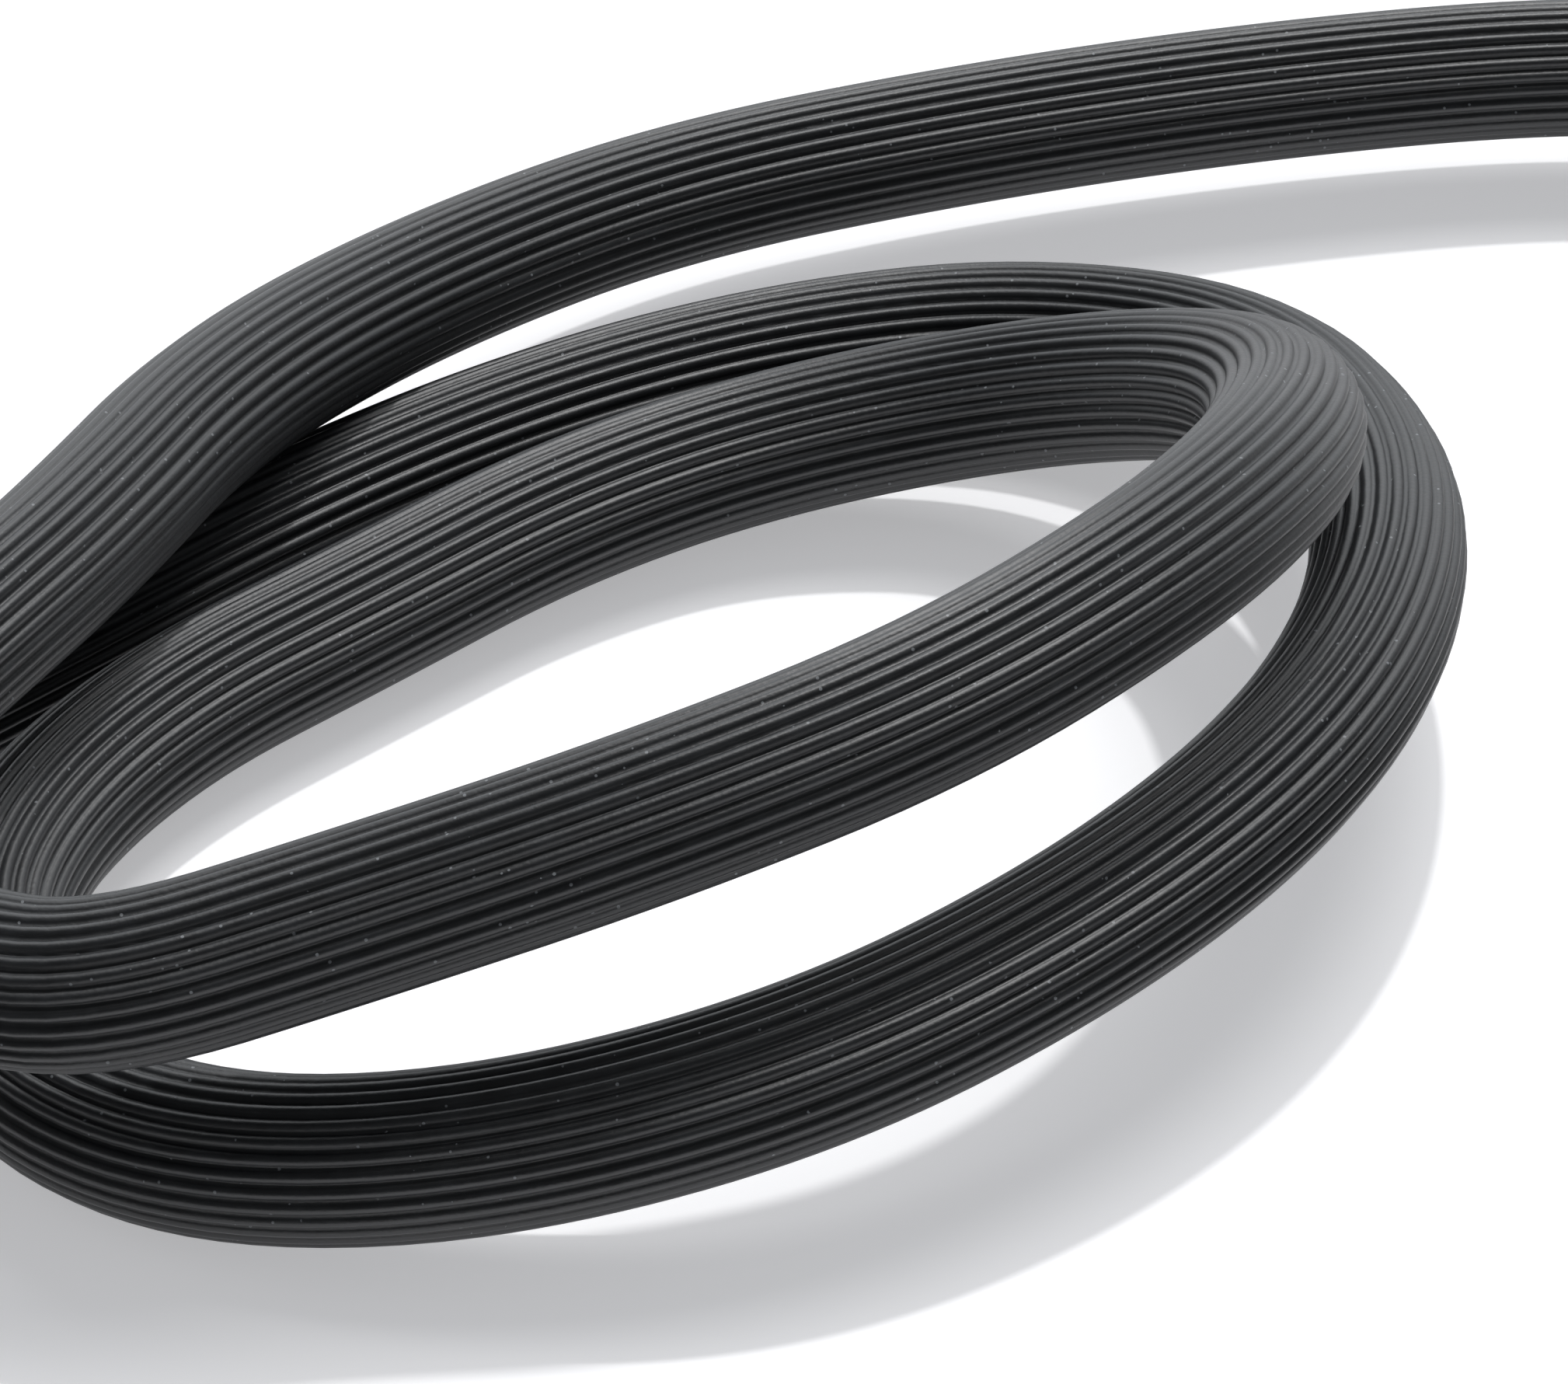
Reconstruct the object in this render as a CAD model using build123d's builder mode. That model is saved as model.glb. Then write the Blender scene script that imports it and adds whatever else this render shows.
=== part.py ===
"""Audio patch cable: a ribbed rubber cord lying in a loose coil, with a 6.35 mm mono phone plug on each end.

Millimetres, +Z up. The cable lies on the floor, Z = 0. The origin is on the floor, under the centre of the
whole cable. Both plugs lie on their barrels, side by side, and point along -Y.
"""

import os
from math import radians, tan

from build123d import *

# ---- cord -------------------------------------------------------------------------------------------
CORD_D = 6.5  # outer diameter over the ribs
COIL_CENTRE = (-8.45, 41.25)  # the coil's middle, seen from the cable's own centre
ROUTE = [
    # from plug 1, round the outside of the back of the coil
    (61.6, 12.4, 6.5), (61.6, 18.9, 6.5), (60.1, 25.5, 6.4), (56.4, 31.4, 6.2), (50.9, 35.7, 6.1),
    (44, 38, 6), (35.5, 38.2, 6), (22.5, 36, 6), (8.5, 32.3, 6), (-5.5, 26.8, 6.2),
    (-16.5, 17.1, 7.5), (-24.3, 4.9, 10), (-28.9, -6.9, 11.1),
    # the left turn, above the turn below it
    (-32.6, -13.9, 11.5), (-36, -19.6, 11.3), (-36.6, -25.4, 11.2), (-34.5, -30.8, 11.4),
    (-30.2, -34.6, 11.9),
    # the high front run, up to the right and down the tight bend
    (-24.7, -36.4, 12.6), (-15.5, -34.3, 14.6), (-5.2, -32.5, 17.5), (5.5, -28.4, 19.6), (14, -21.4, 20.5),
    (19.4, -12.1, 18.8), (20.7, -2.8, 15.2), (17.9, 5.2, 10.8),
    # back across the middle along the floor, and the left bend
    (9.9, 10.5, 6.4), (-1, 9.8, 4.2), (-10, 5.3, 3.6), (-18, -1.7, 3.4), (-25.5, -8.3, 3.4),
    (-30.4, -15.8, 3.4), (-32, -23.6, 3.4), (-29, -31.2, 3.4), (-22, -35.7, 3.6),
    # the low front run and the right bend
    (-11.5, -37.5, 5.4), (1, -35.6, 8), (11.8, -29, 9.5), (20, -20.2, 10.2), (24.6, -9.5, 9.8),
    (25.3, 1.8, 8.5), (21.1, 12.8, 6.6),
    # back along the floor, under the first run, and out to plug 2
    (11, 18, 4.8), (0, 17.4, 3.8), (-10.8, 13, 3.4), (-21.2, 5.6, 3.3), (-31.4, -4.1, 3.3),
    (-38.3, -10.5, 3.3), (-42.6, -16.8, 3.9), (-44.6, -23.7, 5.6), (-44.7, -30.8, 6.5), (-44.7, -37.6, 6.5),
]
ARC_SHARE = 0.45  # of the shorter run that each corner's arc takes up

# ---- plug, by distance from the boot's rear face towards the tip, and by radius ----------------------
BOOT_END, BOOT_REAR_R, BOOT_FRONT_R = 18.0, 4.1, 5.0
BOOT_GROOVES, BOOT_GROOVE_W, BOOT_GROOVE_DEPTH = 4, 1.4, 0.6
LIP_R, LIP_END = 4.3, 20.0  # the hole in the barrel's rear wall, which the boot's neck fills
BOOT_COLLAR_R, BOOT_COLLAR_END = 5.2, 21.4
BARREL_R, BARREL_BORE_R, BARREL_END = 6.5, 5.4, 54.0
BARREL_SHOULDER, BARREL_SHOULDER_END = 1.2, 19.6  # the rear chamfer
RING_GROOVE_STARTS, RING_GROOVE_DEPTH, RING_GROOVE_FLOOR = (22.0, 40.0), 0.3, 0.6
EDGE = 0.4  # small edge chamfers
JACKET_END = 29.0  # how far the cord reaches into the plug, with the tongue's saddle round its end
STRIP_T, STRIP_W, STRIP_GAP = 0.7, 4.0, 0.15
SADDLE_START, SADDLE_T, SADDLE_OPENING = 21.8, 1.0, 2.825  # the opening starts this far above the axis
CORE_R, CORE_END = 1.3, 37.0
WIRE_R, WIRE_END = 0.45, 42.0
PIGTAIL_R, PIGTAIL_END = 0.5, 37.0
RIVET_R, RIVET_START, TERMINAL_START = 1.8, 42.4, 43.0
WASHER_START, TONGUE_START, THREAD_START = 43.8, 45.2, 46.0
TERMINAL_R, WASHER_R, TONGUE_R, TONGUE_HOLE_R = 2.8, 3.2, 4.6, 2.6
TERMINAL_TAB_START, TERMINAL_TAB_W, TERMINAL_TAB_T = 37.8, 2.2, 0.7
WIRE_BEND_START, WIRE_BEND_END, WIRE_DROP, WIRE_BEND_R = 38.6, 40.2, 1.35, 0.8
THREAD_EDGE, FLANGE_R, SHAFT_START = 0.5, 6.3, 56.0
SHAFT_R = 3.175  # the 6.35 mm shaft
ROD_R, TUBE_R = 1.2, 1.9
RING_R, RING_START, TIP_START, TIP_END = 3.0, 76.3, 77.5, 86.5
TIP_COLLAR_R, TIP_COLLAR_END = 2.9, 78.4
WAIST_R, WAIST_START, WAIST_CURVE, BALL_START = 1.95, 80.8, (2.2, 81.9), 82.8
BALL_R, BALL_CURVE, BALL_END_R, BALL_END = 3.05, (2.6, 84.6), 1.3, 85.9
POINT_CURVE, POINT_R = (0.98, 86.3), 0.5
LINER_R, LINER_START, LINER_END = 4.95, 21.6, 44.5


def arc_radii(points):
    """Each corner's largest arc: a share of its shorter run, over the tangent of half the turn."""
    corners = [Vector(*point) for point in points]
    radii = []
    for before, here, after in zip(corners, corners[1:], corners[2:]):
        arriving, leaving = here - before, after - here
        shorter_run = min(arriving.length, leaving.length)
        half_turn = radians(arriving.get_angle(leaving) / 2)
        radii.append(ARC_SHARE * shorter_run / tan(half_turn))
    return radii


def save(part, label):
    """Labels a finished piece and writes it under the same name."""
    part.label = label
    export_step(part, f"parts/{label}.step")


def half_section(plug_plane):
    """The plane of a turned part's half section: radius across, distance along the plug."""
    return Plane(plug_plane.origin, x_dir=plug_plane.x_dir, z_dir=-plug_plane.y_dir)


def at(plug_plane, distance):
    """The plane across the plug at a distance from the boot's rear face."""
    return plug_plane.offset(distance)


os.makedirs("parts", exist_ok=True)

route = [(x + COIL_CENTRE[0], y + COIL_CENTRE[1], z) for x, y, z in ROUTE]
radii = arc_radii(route)
print("arc radii", [round(radius, 1) for radius in radii])

# The jacket: one tube from plug to plug, with its two straight ends inside the plugs.
with BuildPart() as cord_jacket:
    with BuildLine() as cord_line:
        FilletPolyline(*route, radius=radii)
    with BuildSketch(Plane(cord_line.line @ 0, z_dir=cord_line.line % 0)):
        Circle(CORD_D / 2)
    sweep(path=cord_line.line)
    end_faces = cord_jacket.faces().filter_by(GeomType.PLANE)
    extrude(end_faces, amount=JACKET_END)
section = cord_jacket.faces().filter_by(GeomType.PLANE)[0].area
path_length = cord_line.wire().length
print("free length", round(path_length, 1), "whole length", round(path_length + 2 * JACKET_END, 1))
print("volume over section times length", round(
    cord_jacket.part.volume / (section * (path_length + 2 * JACKET_END)), 4))
save(cord_jacket.part, "cord_jacket")

PLUGS = {
    "plug_1": Plane(route[0], x_dir=(1, 0, 0), z_dir=(0, -1, 0)),
    "plug_2": Plane(route[-1], x_dir=(1, 0, 0), z_dir=(0, -1, 0)),
}

for plug, plane in PLUGS.items():
    plug_axis = Axis(plane.origin, plane.z_dir)

    # Soft strain relief: a tapered, grooved sleeve, held by its collar behind the barrel's rear wall.
    with BuildPart() as boot:
        with BuildSketch(half_section(plane)):
            with BuildLine():
                Polyline(
                    (CORD_D / 2, 0), (BOOT_REAR_R, 0), (BOOT_FRONT_R, BOOT_END), (LIP_R, BOOT_END),
                    (LIP_R, LIP_END), (BOOT_COLLAR_R, LIP_END), (BOOT_COLLAR_R, BOOT_COLLAR_END),
                    (CORD_D / 2, BOOT_COLLAR_END), close=True)
            make_face()
            for groove in range(BOOT_GROOVES):
                middle = BOOT_END * (groove + 0.7) / (BOOT_GROOVES + 0.4)
                outside = BOOT_REAR_R + (BOOT_FRONT_R - BOOT_REAR_R) * middle / BOOT_END
                with Locations((outside, middle)):
                    Rectangle(2 * BOOT_GROOVE_DEPTH, BOOT_GROOVE_W, mode=Mode.SUBTRACT)
        revolve(axis=plug_axis)
    save(boot.part, f"{plug}_boot")

    # Screw-on metal barrel, with a chamfered rear, two ring grooves and a plain bore.
    with BuildPart() as barrel:
        with BuildSketch(half_section(plane)):
            with BuildLine():
                Polyline(
                    (LIP_R, BOOT_END), (BARREL_R - BARREL_SHOULDER, BOOT_END),
                    (BARREL_R, BARREL_SHOULDER_END), (BARREL_R, BARREL_END - EDGE), (BARREL_R - EDGE, BARREL_END),
                    (BARREL_BORE_R, BARREL_END), (BARREL_BORE_R, LIP_END), (LIP_R, LIP_END), close=True)
            make_face()
            for start in RING_GROOVE_STARTS:
                floor_start = start + RING_GROOVE_DEPTH
                floor_end = floor_start + RING_GROOVE_FLOOR
                with BuildLine():
                    Polyline(
                        (BARREL_R, start), (BARREL_R - RING_GROOVE_DEPTH, floor_start),
                        (BARREL_R - RING_GROOVE_DEPTH, floor_end), (BARREL_R, floor_end + RING_GROOVE_DEPTH),
                        close=True)
                make_face(mode=Mode.SUBTRACT)
        revolve(axis=plug_axis)
    save(barrel.part, f"{plug}_barrel")

    # Thin plastic liner that keeps the wires off the barrel.
    with BuildPart() as liner:
        with BuildSketch(at(plane, LINER_START)):
            Circle(BARREL_BORE_R)
            Circle(LINER_R, mode=Mode.SUBTRACT)
        extrude(amount=LINER_END - LINER_START)
    save(liner.part, f"{plug}_insulating_liner")

    # Turned ground contact: threaded rear, flange and hollow shaft.
    with BuildPart() as ground_sleeve:
        with BuildSketch(half_section(plane)):
            with BuildLine():
                Polyline(
                    (TUBE_R, THREAD_START), (BARREL_BORE_R - THREAD_EDGE, THREAD_START),
                    (BARREL_BORE_R, THREAD_START + THREAD_EDGE), (BARREL_BORE_R, BARREL_END),
                    (FLANGE_R, BARREL_END), (FLANGE_R, SHAFT_START - EDGE), (FLANGE_R - EDGE, SHAFT_START),
                    (SHAFT_R, SHAFT_START),
                    (SHAFT_R, RING_START), (TUBE_R, RING_START), close=True)
            make_face()
        revolve(axis=plug_axis)
    save(ground_sleeve.part, f"{plug}_ground_sleeve")

    # Moulded insulator: a tube through the shaft, with the ring that shows behind the tip.
    with BuildPart() as tip_insulator:
        with BuildSketch(half_section(plane)):
            with BuildLine():
                Polyline(
                    (ROD_R, TONGUE_START), (TUBE_R, TONGUE_START), (TUBE_R, RING_START), (RING_R, RING_START),
                    (RING_R, TIP_START), (ROD_R, TIP_START), close=True)
            make_face()
        revolve(axis=plug_axis)
    save(tip_insulator.part, f"{plug}_tip_insulator")

    # Tip contact: the ball and waist that the jack's spring catches, on a rod riveted at its rear end.
    with BuildPart() as tip_contact:
        with BuildSketch(half_section(plane)):
            with BuildLine():
                Polyline(
                    (0, TIP_END), (0, RIVET_START), (RIVET_R, RIVET_START), (RIVET_R, TERMINAL_START),
                    (ROD_R, TERMINAL_START), (ROD_R, TIP_START), (TIP_COLLAR_R, TIP_START),
                    (TIP_COLLAR_R, TIP_COLLAR_END), (WAIST_R, WAIST_START))
                ThreePointArc((WAIST_R, WAIST_START), WAIST_CURVE, (BALL_R, BALL_START))
                ThreePointArc((BALL_R, BALL_START), BALL_CURVE, (BALL_END_R, BALL_END))
                ThreePointArc((BALL_END_R, BALL_END), POINT_CURVE, (POINT_R, TIP_END))
                Line((POINT_R, TIP_END), (0, TIP_END))
            make_face()
        revolve(axis=plug_axis)
    save(tip_contact.part, f"{plug}_tip_contact")

    # Insulating washer between the tip's terminal and the ground tongue.
    with BuildPart() as rear_washer:
        with BuildSketch(at(plane, WASHER_START)):
            Circle(WASHER_R)
            Circle(ROD_R, mode=Mode.SUBTRACT)
        extrude(amount=TONGUE_START - WASHER_START)
    save(rear_washer.part, f"{plug}_rear_washer")

    # Stamped tip terminal: a ring under the rod's riveted head, and a tab bent back under the core wire.
    with BuildPart() as tip_terminal:
        with BuildSketch(at(plane, TERMINAL_START)):
            Circle(TERMINAL_R)
            Circle(ROD_R, mode=Mode.SUBTRACT)
        extrude(amount=WASHER_START - TERMINAL_START)
        with BuildSketch(at(plane, TERMINAL_TAB_START)):
            with Locations((0, -(RIVET_R + EDGE))):
                Rectangle(TERMINAL_TAB_W, TERMINAL_TAB_T)
        extrude(amount=TERMINAL_START - TERMINAL_TAB_START)
    save(tip_terminal.part, f"{plug}_tip_terminal")

    # Stamped ground tongue: a ring against the threaded rear, a strip along the barrel, and the saddle
    # that is crimped round the jacket.
    with BuildPart() as ground_tongue:
        with BuildSketch(at(plane, TONGUE_START)):
            Circle(TONGUE_R)
            Circle(TONGUE_HOLE_R, mode=Mode.SUBTRACT)
        extrude(amount=THREAD_START - TONGUE_START)
        with BuildSketch(at(plane, JACKET_END)):
            with Locations((0, -(CORD_D + STRIP_T) / 2 - STRIP_GAP)):
                Rectangle(STRIP_W, STRIP_T)
        extrude(amount=TONGUE_START - JACKET_END)
        with BuildSketch(at(plane, SADDLE_START)):
            Circle(CORD_D / 2 + SADDLE_T)
            Circle(CORD_D / 2, mode=Mode.SUBTRACT)
            with Locations((0, SADDLE_OPENING)):
                Rectangle(2 * CORD_D, CORD_D / 2, align=(Align.CENTER, Align.MIN), mode=Mode.SUBTRACT)
        extrude(amount=JACKET_END - SADDLE_START)
    save(ground_tongue.part, f"{plug}_ground_tongue")

    # The stripped end of the cable: core insulation, bare wire and the twisted shield.
    with BuildPart() as core_insulation:
        with BuildSketch(at(plane, JACKET_END)):
            Circle(CORE_R)
        extrude(amount=CORE_END - JACKET_END)
    save(core_insulation.part, f"{plug}_core_insulation")

    with BuildPart() as core_wire:
        with BuildLine() as wire_line:
            FilletPolyline(
                at(plane, CORE_END).from_local_coords((0, 0, 0)),
                at(plane, WIRE_BEND_START).from_local_coords((0, 0, 0)),
                at(plane, WIRE_BEND_END).from_local_coords((0, -WIRE_DROP, 0)),
                at(plane, WIRE_END).from_local_coords((0, -WIRE_DROP, 0)),
                radius=WIRE_BEND_R)
        with BuildSketch(at(plane, CORE_END)):
            Circle(WIRE_R)
        sweep(path=wire_line.line)
    save(core_wire.part, f"{plug}_core_wire")

    with BuildPart() as shield_pigtail:
        with BuildSketch(at(plane, JACKET_END)):
            with Locations((0, -(CORD_D / 2 + STRIP_GAP - PIGTAIL_R))):
                Circle(PIGTAIL_R)
        extrude(amount=PIGTAIL_END - JACKET_END)
    save(shield_pigtail.part, f"{plug}_shield_pigtail")
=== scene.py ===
"""The audio patch cable: the looks of its ribbed cord and two phone plugs, in metres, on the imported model."""

import logging
import math
from dataclasses import dataclass, field
from enum import Enum

import bmesh
import bpy
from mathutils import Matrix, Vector


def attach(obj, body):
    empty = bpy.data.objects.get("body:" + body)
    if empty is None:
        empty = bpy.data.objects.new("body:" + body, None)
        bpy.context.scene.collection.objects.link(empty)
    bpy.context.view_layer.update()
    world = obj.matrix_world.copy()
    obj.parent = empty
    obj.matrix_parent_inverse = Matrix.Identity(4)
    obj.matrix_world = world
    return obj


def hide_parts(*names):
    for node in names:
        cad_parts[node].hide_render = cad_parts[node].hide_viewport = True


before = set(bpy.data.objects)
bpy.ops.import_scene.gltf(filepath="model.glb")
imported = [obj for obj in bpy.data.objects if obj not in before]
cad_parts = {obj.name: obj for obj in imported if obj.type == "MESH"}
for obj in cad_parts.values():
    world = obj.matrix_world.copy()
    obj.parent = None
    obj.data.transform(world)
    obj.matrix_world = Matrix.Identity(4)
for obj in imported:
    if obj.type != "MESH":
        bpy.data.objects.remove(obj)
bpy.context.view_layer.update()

LOG = logging.getLogger("patch_cable")
MM = 0.001

Point = tuple[float, float, float]
Colour = tuple[float, float, float]

COIL_CENTRE = (-0.00845, 0.04125)
ROUTE: list[Point] = [
    # from plug 1, round the outside of the back of the coil
    (0.0616, 0.0124, 0.0065), (0.0616, 0.0189, 0.0065), (0.0601, 0.0255, 0.0064), (0.0564, 0.0314, 0.0062),
    (0.0509, 0.0357, 0.0061), (0.044, 0.038, 0.006), (0.0355, 0.0382, 0.006), (0.0225, 0.036, 0.006),
    (0.0085, 0.0323, 0.006), (-0.0055, 0.0268, 0.0062), (-0.0165, 0.0171, 0.0075), (-0.0243, 0.0049, 0.01),
    (-0.0289, -0.0069, 0.0111),
    # the left turn, above the turn below it
    (-0.0326, -0.0139, 0.0115), (-0.036, -0.0196, 0.0113), (-0.0366, -0.0254, 0.0112),
    (-0.0345, -0.0308, 0.0114), (-0.0302, -0.0346, 0.0119),
    # the high front run, up to the right and down the tight bend
    (-0.0247, -0.0364, 0.0126), (-0.0155, -0.0343, 0.0146), (-0.0052, -0.0325, 0.0175),
    (0.0055, -0.0284, 0.0196), (0.014, -0.0214, 0.0205), (0.0194, -0.0121, 0.0188), (0.0207, -0.0028, 0.0152),
    (0.0179, 0.0052, 0.0108),
    # back across the middle along the floor, and the left bend
    (0.0099, 0.0105, 0.0064), (-0.001, 0.0098, 0.0042), (-0.01, 0.0053, 0.0036), (-0.018, -0.0017, 0.0034),
    (-0.0255, -0.0083, 0.0034), (-0.0304, -0.0158, 0.0034), (-0.032, -0.0236, 0.0034),
    (-0.029, -0.0312, 0.0034), (-0.022, -0.0357, 0.0036),
    # the low front run and the right bend
    (-0.0115, -0.0375, 0.0054), (0.001, -0.0356, 0.008), (0.0118, -0.029, 0.0095), (0.02, -0.0202, 0.0102),
    (0.0246, -0.0095, 0.0098), (0.0253, 0.0018, 0.0085), (0.0211, 0.0128, 0.0066),
    # back along the floor, under the first run, and out to plug 2
    (0.011, 0.018, 0.0048), (0.0, 0.0174, 0.0038), (-0.0108, 0.013, 0.0034), (-0.0212, 0.0056, 0.0033),
    (-0.0314, -0.0041, 0.0033), (-0.0383, -0.0105, 0.0033), (-0.0426, -0.0168, 0.0039),
    (-0.0446, -0.0237, 0.0056), (-0.0447, -0.0308, 0.0065), (-0.0447, -0.0376, 0.0065),
]


class Slot(Enum):
    """The record's material slots."""

    CORD = "cord_rubber"
    BOOT = "boot_rubber"
    BARREL = "barrel_metal"
    CONTACT = "plated_contact"
    BLACK_PLASTIC = "black_plastic"
    LINER = "clear_plastic"
    STRIP = "brass_strip"
    CORE = "core_plastic"
    COPPER = "copper"


class NodeGraph:
    """Short calls for building one material's node tree."""

    def __init__(self, name: str) -> None:
        """Starts an empty material with its shader and output joined.

        Args:
            name: The material's name.
        """
        self.material = bpy.data.materials.new(name)
        self.material.use_nodes = True
        self.nodes = self.material.node_tree.nodes
        self.links = self.material.node_tree.links
        self.nodes.clear()
        self.output = self.nodes.new("ShaderNodeOutputMaterial")
        self.shader = self.nodes.new("ShaderNodeBsdfPrincipled")
        self.links.new(self.shader.outputs[0], self.output.inputs[0])

    def add(self, kind: str, **settings: object) -> bpy.types.Node:
        """Adds a node.

        Args:
            kind: The node's type name, without the ShaderNode prefix.
            settings: Properties of the node, such as operation.

        Returns:
            The new node.
        """
        node = self.nodes.new("ShaderNode" + kind)
        for key, value in settings.items():
            setattr(node, key, value)
        return node

    def put(self, node: bpy.types.Node, **values: object) -> None:
        """Sets a node's sockets, or links them where the value is a socket.

        Args:
            node: The node to change.
            values: Socket names with _ for a space, or i and the socket's number, with what each one takes.
        """
        for key, value in values.items():
            numbered = key[0] == "i" and key[1:].isdigit()
            socket = node.inputs[int(key[1:]) if numbered else key.replace("_", " ")]
            if isinstance(value, bpy.types.NodeSocket):
                self.links.new(value, socket)
            else:
                socket.default_value = value

    def math(self, operation: str, a: object, b: object) -> bpy.types.NodeSocket:
        """Adds a math node.

        Args:
            operation: Blender's name of the operation.
            a: A number or an output socket.
            b: A number or an output socket.

        Returns:
            The result's socket.
        """
        node = self.add("Math", operation=operation)
        self.put(node, i0=a, i1=b)
        return node.outputs[0]

    def vary(self, value: bpy.types.NodeSocket, middle: float, spread: float) -> bpy.types.NodeSocket:
        """Turns a noise around 0.5 into a value around a middle one.

        Args:
            value: The noise.
            middle: The value where the noise is 0.5.
            spread: How far the value runs as the noise goes from 0 to 1.

        Returns:
            The value's socket.
        """
        node = self.add("Math", operation="MULTIPLY_ADD")
        self.put(node, i0=value, i1=spread, i2=middle - spread / 2)
        return node.outputs[0]

    def grain(self, height: bpy.types.NodeSocket, strength: float, depth: float) -> bpy.types.NodeSocket:
        """Adds a bump.

        Args:
            height: The height that it reads.
            strength: How much of it shows.
            depth: Its depth, in metres.

        Returns:
            The bumped normal.
        """
        node = self.add("Bump")
        self.put(node, Strength=strength, Distance=depth, Height=height)
        return node.outputs[0]

    def noise(self, vector: bpy.types.NodeSocket, scale: float, detail: float) -> bpy.types.NodeSocket:
        """Adds a noise texture.

        Args:
            vector: Where the noise is read.
            scale: Its scale, per metre.
            detail: Its octaves.

        Returns:
            The noise's value, around 0.5.
        """
        node = self.add("TexNoise")
        self.put(node, Vector=vector, Scale=scale, Detail=detail)
        return node.outputs["Fac"]

    def ramp(self, value: bpy.types.NodeSocket, stops: list[tuple[float, Colour]]) -> bpy.types.NodeSocket:
        """Adds a colour ramp.

        Args:
            value: What the ramp reads.
            stops: Positions with their colours.

        Returns:
            The colour's socket.
        """
        node = self.add("ValToRGB")
        elements = node.color_ramp.elements
        while len(elements) < len(stops):
            elements.new(0.5)
        for element, (position, colour) in zip(elements, stops):
            element.position = position
            element.color = (*colour, 1.0)
        self.put(node, Fac=value)
        return node.outputs["Color"]


@dataclass(frozen=True)
class CordRubber:
    """Satin black jacket: fine mottling, a soft gloss, and pale dust specks between and on the ribs.

    Scales are per metre. A speck is a small share of its cell, and specks come only in some patches.
    """

    dark: Colour = (0.006, 0.0067, 0.008)
    light: Colour = (0.015, 0.0168, 0.0195)
    dust: Colour = (0.17, 0.18, 0.19)
    roughness: float = 0.46
    roughness_spread: float = 0.12
    mottle_scale: float = 900.0
    speck_scale: float = 1700.0
    speck_size: float = 0.11
    patch_scale: float = 260.0
    patch_level: float = 0.52
    grain_scale: float = 5200.0
    grain_strength: float = 0.12
    grain_depth: float = 0.12 * MM

    def specks(self, graph: NodeGraph, place: bpy.types.NodeSocket) -> bpy.types.NodeSocket:
        """Marks the dust specks.

        Args:
            graph: The material's nodes.
            place: Where the specks are read.

        Returns:
            A value of 1 on a speck and 0 elsewhere.
        """
        cells = graph.add("TexVoronoi", feature="F1")
        graph.put(cells, Vector=place, Scale=self.speck_scale)
        near = graph.math("LESS_THAN", cells.outputs["Distance"], self.speck_size)
        picked = graph.math("GREATER_THAN", graph.noise(place, self.patch_scale, 2.0), self.patch_level)
        return graph.math("MULTIPLY", near, picked)

    def build(self) -> bpy.types.Material:
        """Returns the jacket's material."""
        graph = NodeGraph("cord_rubber")
        place = graph.add("TexCoord").outputs["Object"]
        mottle = graph.noise(place, self.mottle_scale, 4.0)
        colour = graph.add("Mix", data_type="RGBA")
        body = graph.ramp(mottle, [(0.3, self.dark), (0.75, self.light)])
        graph.put(colour, i0=self.specks(graph, place), i6=body, i7=(*self.dust, 1.0))
        normal = graph.grain(graph.noise(place, self.grain_scale, 3.0), self.grain_strength, self.grain_depth)
        graph.put(
            graph.shader, Base_Color=colour.outputs[2], Normal=normal, Specular_IOR_Level=0.65,
            Roughness=graph.vary(mottle, self.roughness, self.roughness_spread))
        return graph.material


@dataclass(frozen=True)
class Moulded:
    """Moulded rubber or plastic with a fine grain."""

    name: str
    dark: Colour
    light: Colour
    roughness: float
    strength: float = 0.1
    coat: float = 0.0
    see_through: float = 0.0
    mottle_scale: float = 700.0
    roughness_spread: float = 0.14
    grain_scale: float = 4200.0
    grain_depth: float = 0.1 * MM

    def build(self) -> bpy.types.Material:
        """Returns the moulding's material."""
        graph = NodeGraph(self.name)
        place = graph.add("TexCoord").outputs["Object"]
        mottle = graph.noise(place, self.mottle_scale, 4.0)
        normal = graph.grain(graph.noise(place, self.grain_scale, 3.0), self.strength, self.grain_depth)
        graph.put(
            graph.shader, Base_Color=graph.ramp(mottle, [(0.3, self.dark), (0.7, self.light)]),
            Roughness=graph.vary(mottle, self.roughness, self.roughness_spread), Normal=normal,
            Coat_Weight=self.coat, Coat_Roughness=0.2, Transmission_Weight=self.see_through)
        return graph.material


@dataclass(frozen=True)
class Metal:
    """Turned, stamped or drawn metal: faint marks round the plug, and handling haze in the roughness.

    The marks' noise is stretched across the plug's axis, which is Y.
    """

    name: str
    dark: Colour
    light: Colour
    roughness: float
    metallic: float = 1.0
    haze_scale: float = 240.0
    roughness_spread: float = 0.16
    mark_scale: float = 9000.0
    mark_stretch: Point = (0.04, 1.0, 0.04)
    mark_strength: float = 0.06
    mark_depth: float = 0.06 * MM

    def build(self) -> bpy.types.Material:
        """Returns the metal's material."""
        graph = NodeGraph(self.name)
        place = graph.add("TexCoord").outputs["Object"]
        stretch = graph.add("Mapping")
        graph.put(stretch, Vector=place, Scale=self.mark_stretch)
        marks = graph.noise(stretch.outputs[0], self.mark_scale, 2.0)
        haze = graph.noise(place, self.haze_scale, 4.0)
        graph.put(
            graph.shader, Base_Color=graph.ramp(haze, [(0.3, self.dark), (0.7, self.light)]),
            Metallic=self.metallic, Roughness=graph.vary(haze, self.roughness, self.roughness_spread),
            Normal=graph.grain(marks, self.mark_strength, self.mark_depth))
        return graph.material


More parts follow.
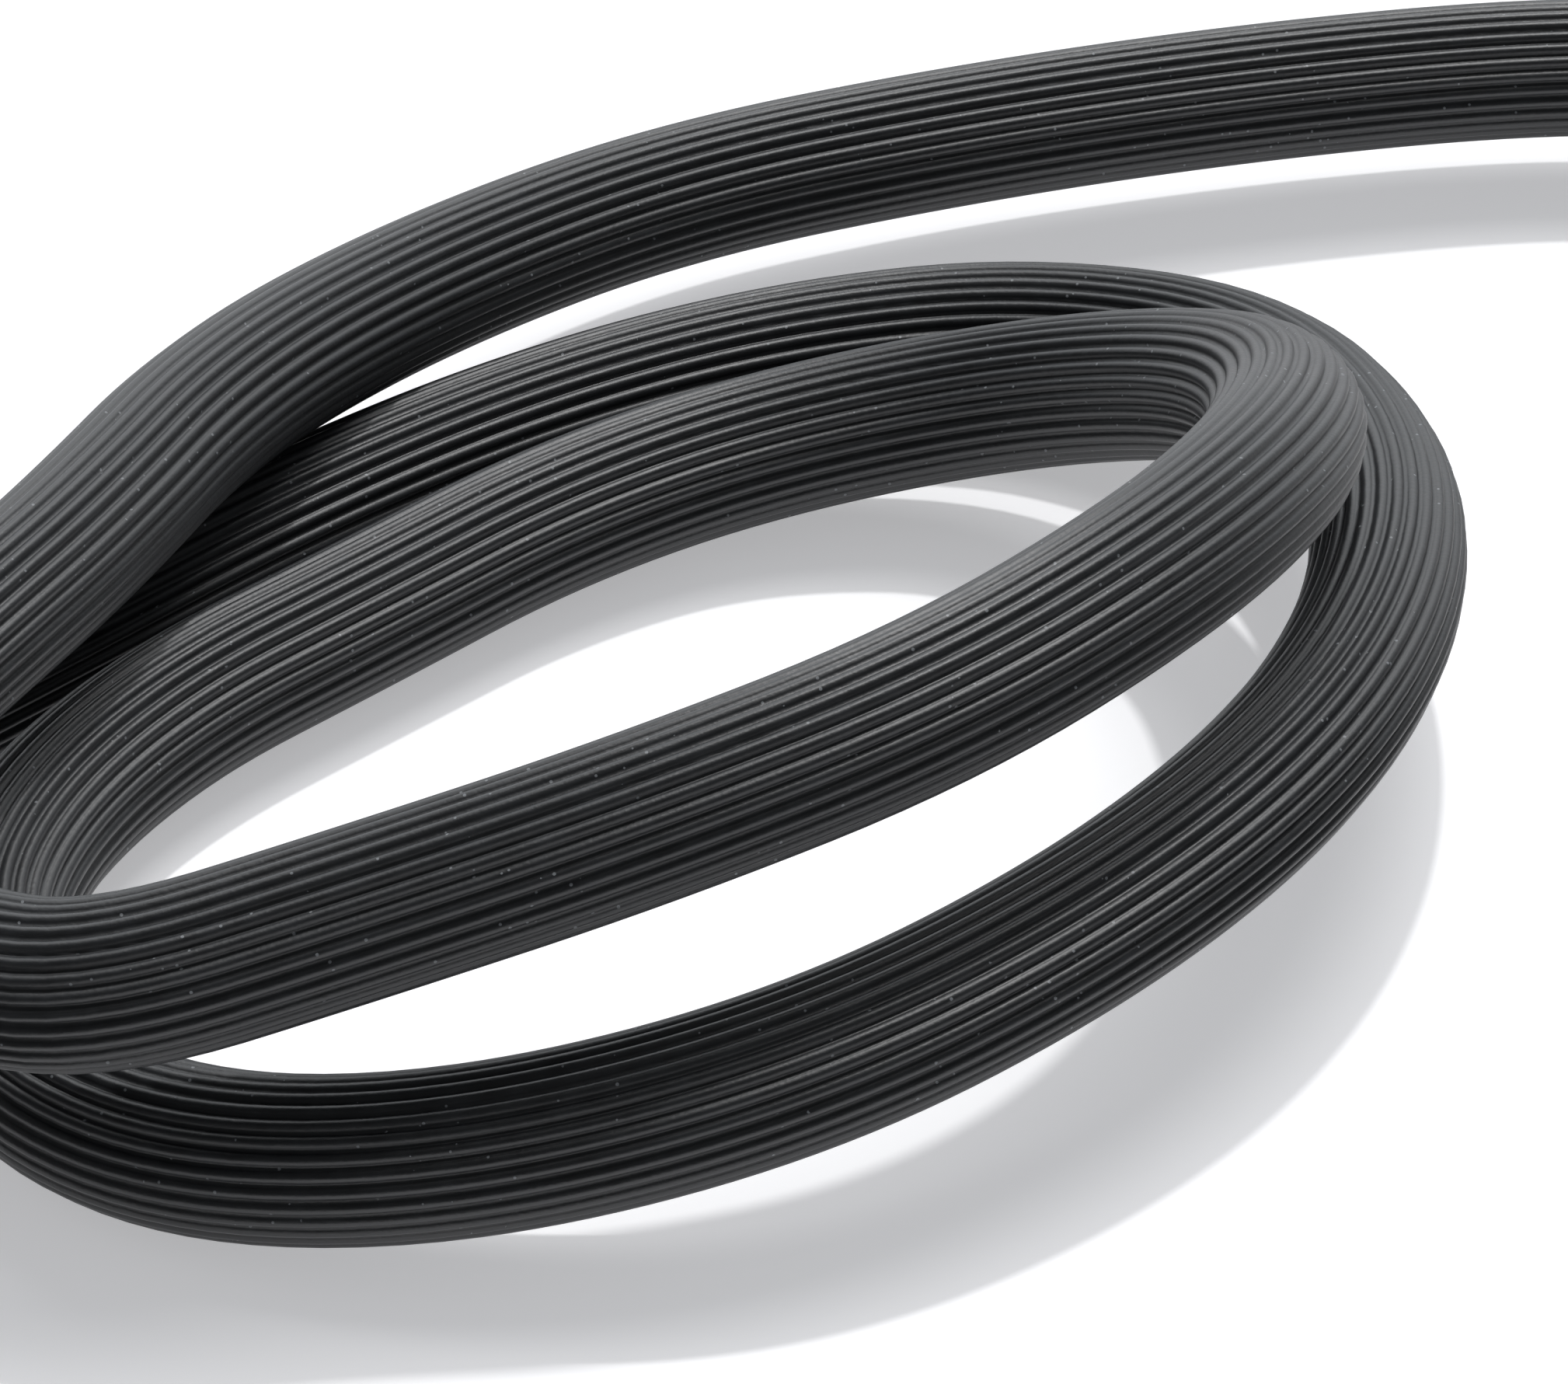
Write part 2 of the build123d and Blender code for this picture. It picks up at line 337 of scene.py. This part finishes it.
def finishes() -> dict[Slot, bpy.types.Material]:
    """Builds every finish once.

    Returns:
        The material of each slot.
    """
    return {
        Slot.CORD: CordRubber().build(),
        Slot.BOOT: Moulded("boot_rubber", (0.008, 0.008, 0.009), (0.018, 0.018, 0.019), 0.62, 0.25).build(),
        Slot.BARREL: Metal("barrel_metal", (0.012, 0.012, 0.013), (0.022, 0.022, 0.023), 0.38, 0.35).build(),
        Slot.CONTACT: Metal("plated_contact", (0.62, 0.61, 0.58), (0.74, 0.73, 0.70), 0.2).build(),
        Slot.BLACK_PLASTIC: Moulded(
            "black_plastic", (0.006, 0.006, 0.007), (0.012, 0.012, 0.013), 0.3, coat=0.3).build(),
        Slot.LINER: Moulded(
            "clear_plastic", (0.75, 0.77, 0.78), (0.82, 0.84, 0.85), 0.25, see_through=0.8).build(),
        Slot.STRIP: Metal("brass_strip", (0.55, 0.42, 0.2), (0.66, 0.52, 0.28), 0.32).build(),
        Slot.CORE: Moulded("core_plastic", (0.72, 0.71, 0.67), (0.8, 0.79, 0.75), 0.45).build(),
        Slot.COPPER: Metal("copper", (0.72, 0.36, 0.22), (0.82, 0.45, 0.3), 0.3).build(),
    }


def new_piece(name: str, mesh: bpy.types.Mesh, finish: bpy.types.Material) -> bpy.types.Object:
    """Puts a finished mesh in the scene as one piece of the object.

    Args:
        name: The piece's name.
        mesh: Its mesh, in the row frame.
        finish: Its material.

    Returns:
        The piece, riding on the one body.
    """
    piece = bpy.data.objects.new(name, mesh)
    bpy.context.scene.collection.objects.link(piece)
    mesh.materials.append(finish)
    for face in mesh.polygons:
        face.use_smooth = True
    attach(piece, "root")
    return piece


@dataclass
class RibbedCord:
    """The cord's jacket: rounded ribs along its whole length, with narrow grooves between them."""

    finish: bpy.types.Material
    diameter: float = 6.5 * MM
    ribs: int = 30
    groove_depth: float = 0.27 * MM
    steps_per_rib: int = 6
    crown_power: float = 0.8
    station_gap: float = 0.95 * MM
    route_steps: int = 24
    inside_plug: float = 3.0 * MM
    path: list[Vector] = field(default_factory=list)

    def lay_route(self) -> list[Vector]:
        """Lays the smooth route and reads it back.

        Returns:
            Close points along the route, from plug 1 to plug 2.
        """
        curve = bpy.data.curves.new("cord_route", "CURVE")
        curve.dimensions = "3D"
        curve.resolution_u = self.route_steps
        spline = curve.splines.new("NURBS")
        spline.points.add(len(ROUTE) - 1)
        for point, (x, y, z) in zip(spline.points, ROUTE):
            point.co = (x + COIL_CENTRE[0], y + COIL_CENTRE[1], z, 1.0)
        spline.order_u = 3
        spline.use_endpoint_u = True
        guide = bpy.data.objects.new("cord_route", curve)
        line = bpy.data.meshes.new_from_object(guide)
        points = [vertex.co.copy() for vertex in line.vertices]
        bpy.data.objects.remove(guide)
        bpy.data.meshes.remove(line)
        return points

    def stations(self) -> list[Vector]:
        """Spaces the sections evenly along the route, with both ends run straight into the plugs.

        Returns:
            The centre of each section.
        """
        evenly = [self.path[0]]
        travelled = 0.0
        for before, after in zip(self.path, self.path[1:]):
            travelled += (after - before).length
            if travelled >= self.station_gap:
                evenly.append(after)
                travelled = 0.0
        evenly[-1] = self.path[-1]
        first = self.path[0] + (self.path[0] - self.path[1]).normalized() * self.inside_plug
        last = self.path[-1] + (self.path[-1] - self.path[-2]).normalized() * self.inside_plug
        return [first, *evenly, last]

    def profile(self) -> list[tuple[float, float]]:
        """Works out one section of the ribbed jacket.

        Returns:
            Angle and radius of each of its points.
        """
        count = self.ribs * self.steps_per_rib
        section = []
        for step in range(count):
            phase = (step % self.steps_per_rib) / self.steps_per_rib
            crown = abs(math.sin(math.pi * phase)) ** self.crown_power
            radius = self.diameter / 2 - self.groove_depth * (1.0 - crown)
            section.append((math.tau * step / count, radius))
        return section

    def mesh(self) -> bpy.types.Mesh:
        """Sweeps the section along the route without twist.

        Returns:
            The jacket's closed mesh.
        """
        centres = self.stations()
        section = self.profile()
        built = bmesh.new()
        side = Vector((0.0, 0.0, 1.0))
        rings = []
        for index, centre in enumerate(centres):
            ahead = centres[min(index + 1, len(centres) - 1)]
            behind = centres[max(index - 1, 0)]
            along = (ahead - behind).normalized()
            side = (side - along * side.dot(along)).normalized()
            across = along.cross(side)
            ring = []
            for angle, radius in section:
                out = side * math.cos(angle) + across * math.sin(angle)
                ring.append(built.verts.new(centre + out * radius))
            rings.append(ring)
        for ring, following in zip(rings, rings[1:]):
            for step in range(len(section)):
                nearby = (step + 1) % len(section)
                built.faces.new((ring[step], ring[nearby], following[nearby], following[step]))
        built.faces.new(list(reversed(rings[0])))
        built.faces.new(rings[-1])
        bmesh.ops.recalc_face_normals(built, faces=built.faces)
        mesh = bpy.data.meshes.new("ribbed_cord")
        built.to_mesh(mesh)
        built.free()
        return mesh

    def build(self) -> bpy.types.Object:
        """Returns:
            The cord's piece.
        """
        self.path = self.lay_route()
        piece = new_piece("ribbed_cord", self.mesh(), self.finish)
        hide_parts("cord_jacket")
        return piece


@dataclass
class PhonePlug:
    """One straight 6.35 mm mono phone plug: finishes for its CAD pieces."""

    name: str
    looks: dict[Slot, bpy.types.Material]
    pieces: dict[str, Slot] = field(default_factory=lambda: {
        "boot": Slot.BOOT,
        "barrel": Slot.BARREL,
        "insulating_liner": Slot.LINER,
        "ground_sleeve": Slot.CONTACT,
        "tip_insulator": Slot.BLACK_PLASTIC,
        "tip_contact": Slot.CONTACT,
        "rear_washer": Slot.BLACK_PLASTIC,
        "tip_terminal": Slot.STRIP,
        "ground_tongue": Slot.STRIP,
        "core_insulation": Slot.CORE,
        "core_wire": Slot.COPPER,
        "shield_pigtail": Slot.COPPER,
    })

    def dress(self) -> list[str]:
        """Gives every CAD piece of the plug its finish.

        Returns:
            The names of the pieces.
        """
        dressed = []
        for part, slot in self.pieces.items():
            node = f"{self.name}_{part}"
            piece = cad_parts[node]
            piece.data.materials.clear()
            piece.data.materials.append(self.looks[slot])
            dressed.append(node)
        return dressed


@dataclass
class Studio:
    """Pale floor, a small and a wide lamp from behind and above, soft fill, and the camera."""

    eye: Point = (COIL_CENTRE[0], COIL_CENTRE[1] - 0.190, 0.1465)
    tilt_deg: float = 52.0
    lens: float = 128.44
    sensor: float = 36.0
    floor_half: float = 3.0
    floor_colour: Colour = (0.82, 0.82, 0.83)
    glow_colour: Colour = (0.98, 0.98, 1.0)
    floor_glow: float = 0.4
    floor_glow_in_gloss: float = 0.55
    key_from: Point = (0.07, 0.40, 1.0)
    key_energy: float = 1.4
    key_angle_deg: float = 2.5
    soft_from: Point = (0.2, 0.38, 1.0)
    soft_energy: float = 1.1
    soft_angle_deg: float = 36.0
    fill: float = 0.24
    fill_colour: Colour = (0.92, 0.95, 1.0)
    gloss_colour: Colour = (0.94, 0.97, 1.0)
    gloss_dim: float = 0.08
    gloss_bright: float = 1.75
    backdrop_side: Point = (-0.1, 0.98, 0.1)
    backdrop_from: float = 0.1
    backdrop_to: float = 0.95

    def camera(self) -> bpy.types.Object:
        """Places the camera.

        Returns:
            The camera.
        """
        data = bpy.data.cameras.new("camera")
        data.sensor_width = self.sensor
        data.lens = self.lens
        data.clip_start = 0.01
        eye = bpy.data.objects.new("camera", data)
        eye.location = self.eye
        eye.rotation_euler = (math.radians(self.tilt_deg), 0.0, 0.0)
        bpy.context.scene.collection.objects.link(eye)
        bpy.context.scene.camera = eye
        return eye

    def floor(self) -> bpy.types.Object:
        """Lays the pale floor. It glows a little to the camera and in gloss, so that its shadows stay pale.

        Returns:
            The floor.
        """
        mesh = bpy.data.meshes.new("floor")
        half = self.floor_half
        corners = [(-half, -half, 0.0), (half, -half, 0.0), (half, half, 0.0), (-half, half, 0.0)]
        mesh.from_pydata(corners, [], [(0, 1, 2, 3)])
        ground = bpy.data.objects.new("floor", mesh)
        bpy.context.scene.collection.objects.link(ground)
        graph = NodeGraph("floor")
        light_path = graph.add("LightPath")
        gloss_or_glass = graph.math(
            "MAXIMUM", light_path.outputs["Is Glossy Ray"], light_path.outputs["Is Transmission Ray"])
        seen = graph.math("MULTIPLY", light_path.outputs["Is Camera Ray"], self.floor_glow)
        reflected = graph.math("MULTIPLY", gloss_or_glass, self.floor_glow_in_gloss)
        glow = graph.math("ADD", seen, reflected)
        graph.put(
            graph.shader, Base_Color=(*self.floor_colour, 1.0), Roughness=0.9, Specular_IOR_Level=0.1,
            Emission_Color=(*self.glow_colour, 1.0), Emission_Strength=glow)
        mesh.materials.append(graph.material)
        return ground

    def lamp(self, name: str, source: Point, energy: float, angle_deg: float) -> bpy.types.Object:
        """Sets one distant lamp.

        Args:
            name: The lamp's name.
            source: The direction towards it.
            energy: Its strength.
            angle_deg: How wide it is, which softens its shadow.

        Returns:
            The lamp.
        """
        light = bpy.data.lights.new(name, "SUN")
        light.energy = energy
        light.angle = math.radians(angle_deg)
        lamp = bpy.data.objects.new(name, light)
        lamp.rotation_euler = Vector(source).to_track_quat("Z", "Y").to_euler()
        bpy.context.scene.collection.objects.link(lamp)
        return lamp

    def sky(self) -> bpy.types.World:
        """Sets the soft fill, the white background, and the bright backdrop that gloss picks up.

        Returns:
            The world.
        """
        world = bpy.data.worlds.new("sky")
        bpy.context.scene.world = world
        world.use_nodes = True
        nodes, links = world.node_tree.nodes, world.node_tree.links
        nodes.clear()
        rays = nodes.new("ShaderNodeLightPath")
        direction = nodes.new("ShaderNodeTexCoord")
        facing = nodes.new("ShaderNodeVectorMath")
        facing.operation = "DOT_PRODUCT"
        links.new(direction.outputs["Generated"], facing.inputs[0])
        facing.inputs[1].default_value = self.backdrop_side
        backdrop = nodes.new("ShaderNodeMapRange")
        backdrop.interpolation_type = "SMOOTHSTEP"
        backdrop.inputs["From Min"].default_value = self.backdrop_from
        backdrop.inputs["From Max"].default_value = self.backdrop_to
        backdrop.inputs["To Min"].default_value = self.gloss_dim
        backdrop.inputs["To Max"].default_value = self.gloss_bright
        links.new(facing.outputs["Value"], backdrop.inputs["Value"])
        gloss_or_glass = nodes.new("ShaderNodeMath")
        gloss_or_glass.operation = "MAXIMUM"
        links.new(rays.outputs["Is Glossy Ray"], gloss_or_glass.inputs[0])
        links.new(rays.outputs["Is Transmission Ray"], gloss_or_glass.inputs[1])
        fill, gloss, white = (nodes.new("ShaderNodeBackground") for _ in range(3))
        fill.inputs["Color"].default_value = (*self.fill_colour, 1.0)
        fill.inputs["Strength"].default_value = self.fill
        gloss.inputs["Color"].default_value = (*self.gloss_colour, 1.0)
        links.new(backdrop.outputs[0], gloss.inputs["Strength"])
        to_gloss, to_white = (nodes.new("ShaderNodeMixShader") for _ in range(2))
        links.new(gloss_or_glass.outputs[0], to_gloss.inputs[0])
        links.new(fill.outputs[0], to_gloss.inputs[1])
        links.new(gloss.outputs[0], to_gloss.inputs[2])
        links.new(rays.outputs["Is Camera Ray"], to_white.inputs[0])
        links.new(to_gloss.outputs[0], to_white.inputs[1])
        links.new(white.outputs[0], to_white.inputs[2])
        out = nodes.new("ShaderNodeOutputWorld")
        links.new(to_white.outputs[0], out.inputs[0])
        return world

    def build(self) -> None:
        """Sets up the whole studio."""
        self.camera()
        self.floor()
        self.lamp("key", self.key_from, self.key_energy, self.key_angle_deg)
        self.lamp("soft_key", self.soft_from, self.soft_energy, self.soft_angle_deg)
        self.sky()
        bpy.context.scene.view_settings.view_transform = "Standard"


def main() -> None:
    """Builds the cord, dresses the plugs and sets the studio."""
    logging.basicConfig(level=logging.INFO, format="%(name)s: %(message)s")
    Studio().build()
    looks = finishes()
    cord = RibbedCord(looks[Slot.CORD])
    piece = cord.build()
    LOG.info("%s: %d faces", piece.name, len(piece.data.polygons))
    for name in ("plug_1", "plug_2"):
        for node in PhonePlug(name, looks).dress():
            LOG.info("%s dressed", node)


if __name__ == "__main__":
    main()
